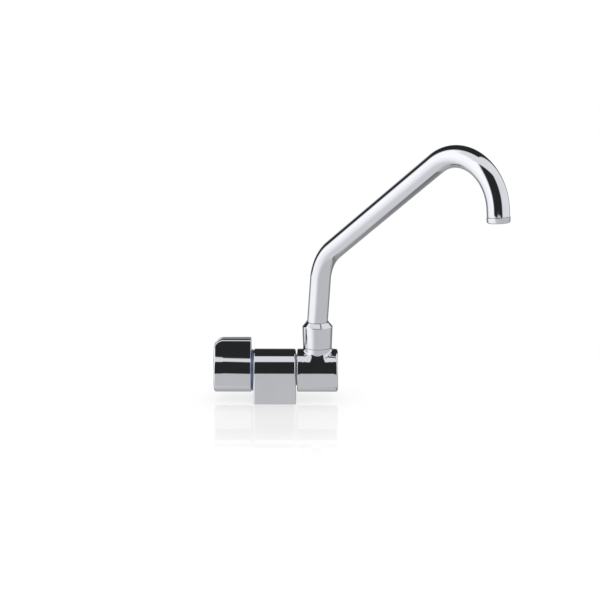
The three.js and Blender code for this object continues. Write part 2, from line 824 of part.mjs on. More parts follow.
function spoutTube(stations) {
  const section = new THREE.Shape().absarc(0, 0, TUBE_R, 0, 2 * Math.PI, false);
  section.holes.push(new THREE.Path().absarc(0, 0, TUBE_IN, 0, 2 * Math.PI, true));
  return solid(
    new THREE.ExtrudeGeometry(section, {
      steps: stations.length - 1,
      extrudePath: new StationPath(stations),
      curveSegments: TUBE_SIDES / 2,
    }),
  );
}

function spoutTail() {
  const edge = 0.4;
  const sleeve = TUBE_IN - GAP; // the part inside the tube
  return turnedZ([
    [TAIL_BOTTOM, TAIL_IN],
    [TAIL_BOTTOM, TAIL_R - edge],
    [TAIL_BOTTOM + edge, TAIL_R],
    ...groove(TAIL_SEALS[0], SEAL_HALF, TAIL_R, TAIL_SEAL_FLOOR),
    ...groove(TAIL_SEALS[1], SEAL_HALF, TAIL_R, TAIL_SEAL_FLOOR),
    [FLANGE_SEAT + GAP, TAIL_R],
    [FLANGE_SEAT + GAP, FLANGE_R],
    [TUBE_START - GAP, FLANGE_R],
    [TUBE_START - GAP, sleeve],
    [TAIL_TOP, sleeve],
    [TAIL_TOP, TAIL_IN],
  ]);
}

// The outlet pieces are modelled along +Z out of the tube, from the tube's end.
function outletRing() {
  const edge = 1.2;
  const plug = TUBE_IN - GAP;
  return turnedZ([
    [OUTLET_PLUG, OUTLET_IN],
    [OUTLET_PLUG, plug],
    ...groove(OUTLET_SEAL, OUTLET_SEAL_HALF, plug, OUTLET_SEAL_FLOOR),
    [OUTLET_BOTTOM, plug],
    [OUTLET_BOTTOM, OUTLET_R],
    ...arc(OUTLET_TOP - edge, OUTLET_R - edge, edge, 90, 0),
    [OUTLET_TOP, MOUTH_R],
    [MOUTH_FLOOR, MOUTH_R],
    [MOUTH_FLOOR, OUTLET_IN],
  ]);
}

function flowStraightener() {
  const [bottom, top] = STRAIGHTENER;
  const spread = 2.8; // from the middle hole to the others
  const turned = turnedZ([
    [bottom, 0],
    [bottom, OUTLET_IN - GAP],
    [STRAIGHTENER_SHOULDER, OUTLET_IN - GAP],
    [STRAIGHTENER_SHOULDER, STRAIGHTENER_R],
    [top, STRAIGHTENER_R],
    [top, 0],
  ]);
  const hole = turnedZ(rodProfile(bottom - THROUGH, top + THROUGH, STRAIGHTENER_HOLE_R), 0, 8);
  let drilled = turned.subtract(hole);
  for (let i = 0; i < STRAIGHTENER_HOLES; i += 1) {
    const angle = (2 * Math.PI * i) / STRAIGHTENER_HOLES;
    drilled = drilled.subtract(hole.translate([spread * Math.cos(angle), spread * Math.sin(angle), 0]));
  }
  return drilled;
}

// ---- Assembly ----

const tap = new THREE.Group();
const bodyLine = new THREE.Group();
bodyLine.position.z = AXIS_Z;
tap.add(bodyLine);

bodyLine.add(
  piece("body_block", bodyBlock(), CHROME),
  piece("base_gasket", baseGasket(), RUBBER),
  piece("index_ring", indexRing(), BLUE_PLASTIC),
  piece("stop_pin", stopPin(BLOCK_HALF - STOP_PIN_DEEP + GAP, ELBOW_LEFT + STOP_PIN_OUT, STOP_PIN_R), STEEL),
);

bodyLine.add(
  piece("valve_housing", valveHousing(), BRASS),
  piece("housing_o_ring", ring("x", HOUSING_SEAL, 9.45, 0.75), RUBBER),
  piece("ceramic_disc_fixed", fixedDisc(), CERAMIC),
  piece("seat_seal", seatSeal(), RUBBER),
  piece("ceramic_disc_moving", movingDisc(), CERAMIC),
  piece("spindle", spindle(), BRASS),
  piece("spindle_o_ring", ring("x", SPINDLE_SEAL, 3.6, 0.5), RUBBER),
  piece("spindle_clip", spindleClip(), STEEL),
);

bodyLine.add(
  piece("control_knob", controlKnob(), CHROME),
  piece("knob_grub_screw", knobGrubScrew(), STEEL),
);

bodyLine.add(
  piece("pivot_spigot", pivotSpigot(), BRASS),
  piece("spigot_o_ring_left", ring("x", SPIGOT_SEALS[0], 7.45, 0.6), RUBBER),
  piece("spigot_o_ring_right", ring("x", SPIGOT_SEALS[1], 7.45, 0.6), RUBBER),
  piece("thrust_washer", thrustWasher(), ACETAL),
  piece("wave_spring", waveSpring(), STEEL),
  piece("retaining_washer", retainingWasher(), STEEL),
  piece("retaining_screw", retainingScrew(), STEEL),
);

bodyLine.add(
  piece("swivel_elbow", swivelElbow(), CHROME),
  piece("pivot_bush_left", pivotBush(ELBOW_LEFT + 0.2, POCKET_LEFT_END - GAP), ACETAL),
  piece("pivot_bush_right", pivotBush(POCKET_RIGHT_END + GAP, RECESS_FLOOR - 0.2), ACETAL),
  piece("elbow_end_cap", elbowEndCap(), CHROME),
  piece("collar_nut", collarNut(), CHROME),
  piece("spout_bush", spoutBush(), ACETAL),
);

const spout = new THREE.Group();
spout.position.x = SPOUT_X;
spout.rotation.z = degrees(REST_SWIVEL);
bodyLine.add(spout);
const stations = spoutStations();
spout.add(
  piece("spout_tube", spoutTube(stations), CHROME),
  piece("spout_tail", spoutTail(), BRASS),
  piece("spout_o_ring_lower", ring("z", TAIL_SEALS[0], 6.85, 0.6), RUBBER),
  piece("spout_o_ring_upper", ring("z", TAIL_SEALS[1], 6.85, 0.6), RUBBER),
);

const outlet = new THREE.Group();
outlet.position.copy(stations.at(-1).point);
outlet.rotation.y = degrees(90 + DROP); // +Z turns to the tube's last direction
spout.add(outlet);
outlet.add(
  piece("outlet_ring", outletRing(), CHROME),
  piece("outlet_o_ring", ring("z", OUTLET_SEAL, 6.05, 0.45), RUBBER),
  piece("flow_straightener", flowStraightener(), ACETAL),
);

export default tap;
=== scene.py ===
import json
import math

import bmesh
import bpy
from mathutils import Matrix, Vector


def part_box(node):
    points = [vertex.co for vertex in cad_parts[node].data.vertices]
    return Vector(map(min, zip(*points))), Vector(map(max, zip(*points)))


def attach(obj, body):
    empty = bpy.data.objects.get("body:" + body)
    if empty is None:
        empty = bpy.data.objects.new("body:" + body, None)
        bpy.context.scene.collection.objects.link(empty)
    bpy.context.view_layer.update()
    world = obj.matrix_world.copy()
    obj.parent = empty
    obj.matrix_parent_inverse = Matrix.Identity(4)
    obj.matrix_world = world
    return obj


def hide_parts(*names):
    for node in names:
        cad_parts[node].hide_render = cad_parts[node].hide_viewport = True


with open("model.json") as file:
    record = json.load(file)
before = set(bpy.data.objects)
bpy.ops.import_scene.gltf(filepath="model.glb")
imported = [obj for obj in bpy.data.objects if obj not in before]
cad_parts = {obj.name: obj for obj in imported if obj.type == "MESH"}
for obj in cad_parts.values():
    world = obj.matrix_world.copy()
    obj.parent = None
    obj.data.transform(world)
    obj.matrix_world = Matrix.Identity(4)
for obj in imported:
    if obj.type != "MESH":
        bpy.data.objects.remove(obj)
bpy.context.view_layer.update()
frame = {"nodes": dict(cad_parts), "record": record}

MM = 0.001
SIDES = 128  # round a wide turned piece
FINE = 64  # round a narrow one
COARSE = 32  # round a small hole
GAP = 0.3 * MM  # clearance that neighbouring pieces keep
THROUGH = 1 * MM  # how far a cutter passes the face that it opens

# ---- Sizes, from the frame ----

block_low, block_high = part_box("body_block")
knob_low, knob_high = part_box("control_knob")
elbow_low, elbow_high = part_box("swivel_elbow")
collar_low, collar_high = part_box("collar_nut")
ring_low, ring_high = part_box("index_ring")
cap_low, cap_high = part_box("elbow_end_cap")

BODY_R = (elbow_high.y - elbow_low.y) / 2
AXIS_Z = elbow_low.z + BODY_R
SPOUT_X = (collar_low.x + collar_high.x) / 2
BLOCK_RIGHT = block_high.x
BLOCK_LEFT = -BLOCK_RIGHT
NECK_END = block_low.x
WING_TOP = knob_high.z - AXIS_Z


# ---- Profiles and lofts ----


def mix(a, b, share):
    return a + (b - a) * share


def ease(value, low, high):
    share = min(1.0, max(0.0, (value - low) / (high - low)))
    return share * share * (3 - 2 * share)


def rounded(corners, steps=5):
    """A line through corners of (a, b, radius), each corner rounded by an arc of its radius."""
    line = []
    for i, (a, b, radius) in enumerate(corners):
        here = Vector((a, b))
        if radius == 0:
            line.append(here)
            continue
        before = Vector(corners[i - 1][:2]) - here
        after = Vector(corners[(i + 1) % len(corners)][:2]) - here
        half = before.angle(after) / 2
        reach = radius / math.tan(half)
        inward = (before.normalized() + after.normalized()).normalized()
        centre = here + inward * (radius / math.sin(half))
        start = here + before.normalized() * reach - centre
        end = here + after.normalized() * reach - centre
        turn = start.angle(end)
        for k in range(steps + 1):
            share = k / steps
            spoke = (start * math.sin((1 - share) * turn) + end * math.sin(share * turn)) / math.sin(turn)
            line.append(centre + spoke)
    return [(p.x, p.y) for p in line]


def new_object(name, vertices, faces):
    mesh = bpy.data.meshes.new(name)
    mesh.from_pydata([tuple(v) for v in vertices], [], faces)
    mesh.validate()
    mesh.update()
    piece = bpy.data.objects.new(name, mesh)
    bpy.context.scene.collection.objects.link(piece)
    return piece


def loft(name, loops, closed=False):
    """One skin over loops with the same number of points. The ends are capped, or joined if closed."""
    count = len(loops[0])
    vertices = [v for loop in loops for v in loop]
    faces = []
    pairs = len(loops) if closed else len(loops) - 1
    for k in range(pairs):
        a, b = k * count, ((k + 1) % len(loops)) * count
        for i in range(count):
            j = (i + 1) % count
            faces.append((a + i, a + j, b + j, b + i))
    if not closed:
        faces.append(tuple(reversed(range(count))))
        faces.append(tuple(range(len(vertices) - count, len(vertices))))
    return new_object(name, vertices, faces)


def circle_x(x, radius, angles):
    """Points round the body's axis."""
    return [Vector((x, radius * math.cos(a), AXIS_Z + radius * math.sin(a))) for a in angles]


def circle_z(z, radius, angles, x=SPOUT_X):
    """Points round an upright axis, z above the body's axis."""
    return [Vector((x + radius * math.cos(a), radius * math.sin(a), AXIS_Z + z)) for a in angles]


def even_angles(sides):
    return [2 * math.pi * i / sides for i in range(sides)]


def turned_x(name, profile, sides=SIDES, closed=True):
    """A profile of (x, radius) turned about the body's axis, and joined into a ring if closed."""
    angles = even_angles(sides)
    return loft(name, [circle_x(x, radius, angles) for x, radius in profile], closed)


def turned_z(name, profile, sides=SIDES, closed=True, x=SPOUT_X):
    """A profile of (z, radius) turned about an upright axis, z above the body's axis."""
    angles = even_angles(sides)
    return loft(name, [circle_z(z, radius, angles, x) for z, radius in profile], closed)


SAME_PLACE = 0.0001 * MM


def outward(piece):
    """Merges points in the same place and makes every face of a closed piece point out."""
    work = bmesh.new()
    work.from_mesh(piece.data)
    bmesh.ops.remove_doubles(work, verts=work.verts, dist=SAME_PLACE)
    bmesh.ops.recalc_face_normals(work, faces=work.faces)
    if work.calc_volume(signed=True) < 0:
        bmesh.ops.reverse_faces(work, faces=work.faces)
    work.to_mesh(piece.data)
    work.free()
    return piece


def boolean(piece, cutter, operation="DIFFERENCE"):
    """Cuts the cutter out of the piece, or joins it on, and removes the cutter."""
    outward(piece)
    outward(cutter)
    step = piece.modifiers.new("cut", "BOOLEAN")
    step.operation = operation
    step.solver = "EXACT"
    step.object = cutter
    graph = bpy.context.evaluated_depsgraph_get()
    graph.update()
    made = bpy.data.meshes.new_from_object(piece.evaluated_get(graph))
    piece.modifiers.clear()
    old = piece.data
    piece.data = made
    made.name = piece.name
    bpy.data.meshes.remove(old)
    bpy.data.objects.remove(cutter)
    return piece


def smooth(piece, sharp_above=32):
    """Smooth shading with crisp creases, weighted so that flat faces reflect as flat."""
    outward(piece)
    for face in piece.data.polygons:
        face.use_smooth = True
    piece.data.set_sharp_from_angle(angle=math.radians(sharp_above))
    weighted = piece.modifiers.new("flat faces stay flat", "WEIGHTED_NORMAL")
    weighted.keep_sharp = True
    weighted.weight = 100
    return piece


def show(piece, body, material, slot, *nodes):
    """Finishes a piece: shading, material, the body that it rides on and the CAD nodes that it stands for."""
    smooth(piece)
    piece.data.materials.clear()
    piece.data.materials.append(material)
    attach(piece, body)
    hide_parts(*nodes)
    return piece


# ---- Materials ----


class Nodes:
    """Short names for adding and joining shader nodes."""

    def __init__(self, tree):
        self.tree = tree

    def add(self, kind, inputs=None, **settings):
        node = self.tree.nodes.new(kind)
        for key, value in settings.items():
            setattr(node, key, value)
        for key, value in (inputs or {}).items():
            self.feed(node.inputs[key], value)
        return node

    def feed(self, socket, value):
        if isinstance(value, bpy.types.NodeSocket):
            self.tree.links.new(value, socket)
        elif isinstance(value, bpy.types.Node):
            self.tree.links.new(value.outputs[0], socket)
        else:
            socket.default_value = value

    def math(self, operation, a, b=0.0, clamp=False):
        return self.add("ShaderNodeMath", {0: a, 1: b}, operation=operation, use_clamp=clamp)

    def noise(self, vector, scale, detail=3.0, roughness=0.5):
        inputs = {"Vector": vector, "Scale": scale, "Detail": detail, "Roughness": roughness}
        return self.add("ShaderNodeTexNoise", inputs)

    def ramp(self, value, stops):
        node = self.add("ShaderNodeValToRGB", {"Fac": value})
        elements = node.color_ramp.elements
        while len(elements) < len(stops):
            elements.new(1.0)
        for element, (position, color) in zip(elements, stops):
            element.position = position
            element.color = (*color, 1.0)
        return node

    def spread(self, value, low, high, to_low, to_high):
        inputs = {"Value": value, "From Min": low, "From Max": high, "To Min": to_low, "To Max": to_high}
        return self.add("ShaderNodeMapRange", inputs, clamp=True)

    def bump(self, height, strength, distance, normal=None):
        inputs = {"Height": height, "Strength": strength, "Distance": distance}
        if normal is not None:
            inputs["Normal"] = normal
        return self.add("ShaderNodeBump", inputs)


def new_material(name, **constants):
    """An empty material: its helper, its shader and the object's own coordinates in metres."""
    material = bpy.data.materials.new(name)
    material.use_nodes = True
    tree = material.node_tree
    shader = tree.nodes["Principled BSDF"]
    for socket, value in constants.items():
        shader.inputs[socket.replace("_", " ")].default_value = value
    helper = Nodes(tree)
    place = helper.add("ShaderNodeTexCoord").outputs["Object"]
    return material, helper, shader, place


def grey(level):
    return (level, level, level)


def chrome():
    """Polished plating: a faint long waviness, hair-fine polishing marks and barely visible smudges."""
    material, n, shader, place = new_material("chrome_plating", Metallic=1.0)
    film = n.noise(place, 45.0, 4.0, 0.55)
    tint = n.ramp(film, [(0.3, (0.53, 0.535, 0.56)), (0.7, (0.56, 0.565, 0.59))])
    smudge = n.noise(place, 170.0, 5.0, 0.6)
    roughness = n.spread(smudge, 0.35, 0.75, 0.02, 0.06)
    casting = n.noise(place, 60.0, 1.0, 0.4)
    stretch = n.add("ShaderNodeMapping", {"Vector": place, "Scale": (60.0, 2600.0, 2600.0)})
    marks = n.noise(stretch.outputs[0], 1.0, 2.0, 0.5)
    wavy = n.bump(casting, 0.05, 0.4 * MM)
    polished = n.bump(marks, 0.012, 0.02 * MM, wavy)
    n.feed(shader.inputs["Base Color"], tint.outputs[0])
    n.feed(shader.inputs["Roughness"], roughness)
    n.feed(shader.inputs["Normal"], polished)
    return material


def turned_metal(name, dark, light, roughness, along):
    """Machined metal: fine tool rings across the direction along, and slight tarnish."""
    material, n, shader, place = new_material(name, Metallic=1.0)
    tarnish = n.noise(place, 220.0, 4.0)
    tint = n.ramp(tarnish, [(0.3, dark), (0.7, light)])
    stretch = n.add("ShaderNodeMapping", {"Vector": place, "Scale": along})
    rings = n.noise(stretch.outputs[0], 1.0, 2.0)
    n.feed(shader.inputs["Base Color"], tint.outputs[0])
    n.feed(shader.inputs["Roughness"], n.spread(rings, 0.3, 0.7, roughness - 0.06, roughness + 0.08))
    n.feed(shader.inputs["Normal"], n.bump(rings, 0.25, 0.03 * MM))
    return material


def rubber():
    """Black rubber: dull, with a slight grey bloom and a fine grain."""
    material, n, shader, place = new_material("black_rubber")
    bloom = n.noise(place, 350.0, 4.0)
    tint = n.ramp(bloom, [(0.35, grey(0.012)), (0.75, grey(0.035))])
    grain = n.noise(place, 4000.0, 2.0)
    n.feed(shader.inputs["Base Color"], tint.outputs[0])
    n.feed(shader.inputs["Roughness"], n.spread(bloom, 0.3, 0.7, 0.55, 0.72))
    n.feed(shader.inputs["Normal"], n.bump(grain, 0.3, 0.03 * MM))
    return material


def plastic(name, dark, light, roughness, grain_size):
    """Moulded plastic: slight flow marks in the colour and a fine moulded grain."""
    material, n, shader, place = new_material(name)
    flow = n.noise(place, 260.0, 3.0)
    tint = n.ramp(flow, [(0.3, dark), (0.7, light)])
    grain = n.noise(place, grain_size, 2.0)
    n.feed(shader.inputs["Base Color"], tint.outputs[0])
    n.feed(shader.inputs["Roughness"], n.spread(flow, 0.3, 0.7, roughness - 0.04, roughness + 0.05))
    n.feed(shader.inputs["Normal"], n.bump(grain, 0.15, 0.02 * MM))
    return material


CHROME = chrome()
BRASS = turned_metal("machined_brass", (0.56, 0.38, 0.15), (0.76, 0.56, 0.27), 0.28, (5200.0, 90.0, 90.0))
STEEL = turned_metal("stainless_steel", (0.5, 0.5, 0.51), (0.64, 0.64, 0.65), 0.24, (4200.0, 160.0, 160.0))
RUBBER = rubber()
ACETAL = plastic("white_acetal", (0.74, 0.72, 0.66), (0.84, 0.82, 0.77), 0.42, 3000.0)
CERAMIC = plastic("lapped_ceramic", (0.8, 0.79, 0.75), (0.9, 0.89, 0.86), 0.2, 6000.0)
BLUE = plastic("blue_index_plastic", (0.07, 0.1, 0.24), (0.09, 0.13, 0.3), 0.3, 2500.0)

BY_SLOT = {
    "chrome": CHROME,
    "brass": BRASS,
    "steel": STEEL,
    "rubber": RUBBER,
    "acetal": ACETAL,
    "ceramic": CERAMIC,
    "blue_plastic": BLUE,
}


def dress_cad_nodes():
    """Gives each CAD node the material of its slot."""
    for part in frame["record"]["subparts"]:
        node = frame["nodes"][part["node"]]
        node.data.materials.clear()
        node.data.materials.append(BY_SLOT[part["material_slot"]])


dress_cad_nodes()


# ---- Control knob ----

WING_HALF = 3.4 * MM  # half of its thickness where its hollow sides would be upright
WING_TANGENTS = (41.0, 38.5)  # degrees up the round body where the sides leave it, at the two ends
WING_CORNER = 7.5 * MM  # the wing's round corner at its free end
WING_EDGE = 2.6 * MM
KNOB_EDGE = 1.6 * MM
KNOB_LIP = 0.4 * MM
KNOB_BORE = 14 * MM
HUB_R = 7.5 * MM
HUB_END = 15.8 * MM  # from the knob's right face to the end of its hub
HUB_EDGE = 0.4 * MM
INNER_CORNER = 1.5 * MM
SOCKET_HALF = 3.1 * MM  # half across the hub's square socket
SOCKET_DEEP = 9.7 * MM
END_WALL = 3 * MM
MOUTH_FLARE = 0.5 * MM
KEY_HOLE_R = 2.2 * MM  # under the knob, for the grub screw's key
GRUB_HOLE_R = 1.7 * MM


def arc_points(y, z, radius, start, end, steps):
    """Points (y, z) along an arc, from the angle start to the angle end."""
    return [
        (y + radius * math.cos(a), z + radius * math.sin(a))
        for a in (start + (end - start) * k / steps for k in range(steps + 1))
    ]


def knob_section(x, top, inset):
    """The knob's outline as (y, z) from the axis: round body, hollow sweeps and a flat-topped wing."""
    share = (x - knob_low.x) / (knob_high.x - knob_low.x)
    tangent = math.radians(mix(*WING_TANGENTS, share))
    sweep_r = (BODY_R * math.cos(tangent) - WING_HALF) / (1 - math.cos(tangent))
    sweep_y = WING_HALF + sweep_r
    sweep_z = (BODY_R + sweep_r) * math.sin(tangent)
    sweep = sweep_r + inset
    body = arc_points(0, 0, BODY_R - inset, -math.pi / 2, tangent, 44)
    corner_z = top - WING_EDGE
    corner_y = sweep_y - math.sqrt((sweep + WING_EDGE) ** 2 - (sweep_z - corner_z) ** 2)
    towards = math.atan2(sweep_z - corner_z, sweep_y - corner_y)
    side = arc_points(sweep_y, sweep_z, sweep, math.pi + tangent, math.pi + towards, 20)
    corner = arc_points(corner_y, corner_z, WING_EDGE, towards, math.pi / 2, 10)
    half = body + side[1:] + corner[1:]
    return half + [(-y, z) for y, z in reversed(half[1:])]


def knob_stations():
    """(x, top, inset) along the knob, from its free end to its open end."""
    left, right = knob_low.x, knob_high.x
    crest = WING_TOP - WING_CORNER

    def top(x):
        short = max(0.0, left + WING_CORNER - x)
        return crest + math.sqrt(WING_CORNER**2 - short**2)

    stations = []
    for k in range(9):
        a = math.pi / 2 * k / 8
        stations.append((left + KNOB_EDGE * (1 - math.cos(a)), KNOB_EDGE * (1 - math.sin(a))))
    first = math.acos(1 - KNOB_EDGE / WING_CORNER)
    for k in range(1, 11):
        a = first + (math.pi / 2 - first) * k / 10
        stations.append((left + WING_CORNER * (1 - math.cos(a)), 0.0))
    for k in range(6):
        a = math.pi / 2 * k / 5
        stations.append((right - KNOB_LIP * (1 - math.sin(a)), KNOB_LIP * (1 - math.cos(a))))
    return [(x, top(x) - (inset if x > left + WING_CORNER else 0.0), inset) for x, inset in stations]


def make_knob():
    """The knob with its wing: a hollow shell with a hub inside, a square socket and the grub screw's hole."""
    loops = []
    for x, top, inset in knob_stations():
        loops.append([Vector((x, y, AXIS_Z + z)) for y, z in knob_section(x, top, inset)])
    angles = [math.atan2(p.z - AXIS_Z, p.y) for p in loops[-1]]
    right = knob_high.x
    floor = knob_low.x + END_WALL
    hub = right - HUB_END
    inside = rounded(
        [
            (right, KNOB_BORE + MOUTH_FLARE, 0),
            (right, KNOB_BORE, KNOB_LIP),
            (floor, KNOB_BORE, INNER_CORNER),
            (floor, HUB_R, INNER_CORNER),
            (hub, HUB_R, HUB_EDGE),
            (hub, 0.5 * MM, 0),
        ],
        4,
    )
    loops += [circle_x(x, radius, angles) for x, radius in inside]
    knob = loft("knob_shell", loops)
    square = [(SOCKET_HALF, SOCKET_HALF), (-SOCKET_HALF, SOCKET_HALF)]
    square += [(-y, -z) for y, z in square]
    ends = (hub - SOCKET_DEEP, hub + THROUGH)
    boolean(knob, loft("socket", [[Vector((x, y, AXIS_Z + z)) for y, z in square] for x in ends]))
    grub_low, grub_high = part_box("knob_grub_screw")
    grub_x = (grub_low.x + grub_high.x) / 2
    key_hole = [(-BODY_R - 2 * THROUGH, KEY_HOLE_R), (-HUB_R - 2 * THROUGH, KEY_HOLE_R)]
    boolean(knob, turned_z("key_hole", key_hole, COARSE, False, grub_x))
    screw_hole = [(-HUB_R - THROUGH, GRUB_HOLE_R), (-2 * THROUGH, GRUB_HOLE_R)]
    boolean(knob, turned_z("screw_hole", screw_hole, 24, False, grub_x))
    show(knob, "knob", CHROME, "chrome", "control_knob")


make_knob()


# ---- Mounting block ----

NECK_R = 12 * MM
BLOCK_EDGE = 1.3 * MM
FOOT_EDGE = 0.35 * MM
VALVE_BORE_R = 10.5 * MM
SEAT_WALL = 3 * MM  # between the valve and the spigot
SEAT_HOLE_R = 4 * MM
SPIGOT_BORE_R = 7 * MM
GROOVE_WIDE = 2.5 * MM  # of the base gasket
INLET_R = 7.5 * MM  # at the inside of its thread
INLET_DEEP = 10 * MM
INLET_CHAMFER = 0.6 * MM
THREAD_PITCH = 1.34 * MM
THREAD_DEEP = 0.7 * MM
PORT_R = 3.5 * MM  # from the inlet up into the valve's bore
PORT_X = -3 * MM
PIN_HOLE_R = 1.3 * MM


def block_section(inset):
    """The block's outline as (y, z) in the frame: upright sides under a half-round crown."""
    half = BODY_R - inset
    foot = arc_points(half - FOOT_EDGE, FOOT_EDGE, FOOT_EDGE, -math.pi / 2, 0, 3)
    crown = arc_points(0, AXIS_Z, half, 0, math.pi, 96)
    return foot + crown + [(-y, z) for y, z in reversed(foot)]


def add_neck(block):
    """The round neck at the left that the index ring and the knob sit around."""
    neck_right = BLOCK_LEFT + 3 * MM
    neck = rounded(
        [
            (NECK_END, 1 * MM, 0),
            (NECK_END, NECK_R, 0.3 * MM),
            (neck_right, NECK_R, 0),
            (neck_right, 1 * MM, 0),
        ]
    )
    boolean(block, turned_x("neck", neck, SIDES, False), "UNION")


def cut_waterway(block):
    """The stepped bore along the body's axis: the valve's, the seat's and the spigot's."""
    seat_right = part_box("pivot_spigot")[0].x - GAP
    seat_left = seat_right - SEAT_WALL
    waterway = [
        (NECK_END - THROUGH, VALVE_BORE_R),
        (seat_left, VALVE_BORE_R),
        (seat_left, SEAT_HOLE_R),
        (seat_right, SEAT_HOLE_R),
        (seat_right, SPIGOT_BORE_R),
        (BLOCK_RIGHT + THROUGH, SPIGOT_BORE_R),
    ]
    boolean(block, turned_x("waterway", waterway, FINE, False))


def cut_gasket_groove(block):
    """The round groove in the base, with a gap all round the gasket."""
    gasket_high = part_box("base_gasket")[1]
    top = gasket_high.z + GAP - AXIS_Z
    outside = gasket_high.x + GAP
    groove = [
        (-AXIS_Z - THROUGH, outside - GROOVE_WIDE),
        (-AXIS_Z - THROUGH, outside),
        (top, outside),
        (top, outside - GROOVE_WIDE),
    ]
    boolean(block, turned_z("groove", groove, SIDES, True, 0.0))


def cut_inlet(block):
    """The socket in the base, with a ring of thread at every pitch, and the port above it."""
    start = -AXIS_Z + INLET_CHAMFER
    socket = [(-AXIS_Z - THROUGH, INLET_R + INLET_CHAMFER + THROUGH), (start, INLET_R)]
    turns = int((INLET_DEEP - 2 * INLET_CHAMFER) / THREAD_PITCH)
    for k in range(turns):
        z = start + k * THREAD_PITCH
        socket += [(z + THREAD_PITCH / 2, INLET_R + THREAD_DEEP), (z + THREAD_PITCH, INLET_R)]
    socket.append((-AXIS_Z + INLET_DEEP, INLET_R))
    boolean(block, turned_z("socket", socket, FINE, False, 0.0))
    port = [(-AXIS_Z + INLET_DEEP - THROUGH, PORT_R), (-BODY_R / 2, PORT_R)]
    boolean(block, turned_z("port", port, COARSE, False, PORT_X))


def cut_pin_hole(block):
    """The hole in the right face that holds the stop pin."""
    pin_low, pin_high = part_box("stop_pin")
    outline = arc_points(
        (pin_low.y + pin_high.y) / 2, (pin_low.z + pin_high.z) / 2, PIN_HOLE_R, 0, 2 * math.pi, 24
    )[:-1]
    depths = (pin_low.x - GAP, BLOCK_RIGHT + THROUGH)
    boolean(block, loft("pin_hole", [[Vector((x, y, z)) for y, z in outline] for x in depths]))


def make_block():
    """The mounting block: rounded edges on both faces, a neck for the knob, and all its bores."""
    stations = []
    for k in range(7):
        a = math.pi / 2 * k / 6
        stations.append((BLOCK_LEFT + BLOCK_EDGE * (1 - math.cos(a)), BLOCK_EDGE * (1 - math.sin(a))))
    stations += [(-x, inset) for x, inset in reversed(stations)]
    loops = [[Vector((x, y, z)) for y, z in block_section(inset)] for x, inset in stations]
    block = loft("mounting_block", loops)
    add_neck(block)
    cut_waterway(block)
    cut_gasket_groove(block)
    cut_inlet(block)
    cut_pin_hole(block)
    show(block, "block", CHROME, "chrome", "body_block")


make_block()


def make_index_ring():
    """The thin blue ring between knob and block."""
    inside = NECK_R + GAP
    outside = ring_high.z - AXIS_Z
    edge = 0.35 * MM
    profile = rounded(
        [
            (ring_low.x, inside, 0),
            (ring_low.x, outside, edge),
            (ring_high.x, outside, edge),
            (ring_high.x, inside, 0),
        ]
    )
    show(turned_x("blue_ring", profile), "block", BLUE, "blue_plastic", "index_ring")


make_index_ring()


# ---- Elbow ----

BOSS_R = 10.9 * MM
BOSS_TOP = 18.3 * MM  # above the body's axis
BOSS_FILLET = 1.6 * MM
BOSS_NECK_R = 9.8 * MM
BOSS_NECK_EDGE = 0.4 * MM
SKIRT_ROLL = math.radians(55)  # from the top of the barrel to where the skirt touches it
SKIRT_FACING = (0.74, 0.94)  # how squarely to the front or back the skirt starts and is full
ELBOW_EDGE = 1.5 * MM
ELBOW_LIP = 0.7 * MM
POCKET_R = 10 * MM  # of the two bushes
CHAMBER_R = 10.5 * MM  # water chamber round the spigot's ports
CHAMBER_HALF = 3.8 * MM
RISER_R = 3.7 * MM  # waterway up; less than CHAMBER_HALF, because cuts that only touch leave slivers
TAIL_BORE_R = 7.7 * MM
FLANGE_BORE_R = 9.05 * MM
FLANGE_TALL = 3.7 * MM  # from its seat to the bush on it
AROUND = 96  # points round the boss, a multiple of 8
LOWER = 48  # steps round the barrel's lower half


def boss_foot(angle, steps=7):
    """Points from the boss's wall down to the barrel: a small fillet, and a flat skirt at front and back."""
    out = Vector((math.cos(angle), math.sin(angle), 0))
    wall = out * BOSS_R
    ball = out * (BOSS_R + BOSS_FILLET)
    ball_height = math.sqrt((BODY_R + BOSS_FILLET) ** 2 - ball.y**2)
    skirt = ease(abs(out.y), *SKIRT_FACING)
    roll = mix(math.asin(abs(ball.y) / (BODY_R + BOSS_FILLET)), SKIRT_ROLL, skirt)
    corner_z = (BODY_R - abs(wall.y) * math.sin(roll)) / math.cos(roll)
    end_x = mix(ball.x, out.x * BODY_R * math.sin(SKIRT_ROLL), skirt)
    end = Vector((end_x, math.copysign(BODY_R * math.sin(roll), out.y), BODY_R * math.cos(roll)))
    corner = Vector((wall.x, wall.y, corner_z))
    start = Vector((wall.x, wall.y, mix(ball_height, corner_z + 0.5 * MM, skirt)))
    near = corner.lerp(end, mix(0.94, 0.16, skirt))
    points = []
    for k in range(steps + 1):
        t = k / steps
        points.append(start * (1 - t) ** 2 + corner * (2 * t * (1 - t)) + near * t**2)
    return points + [near.lerp(end, 0.5), end]


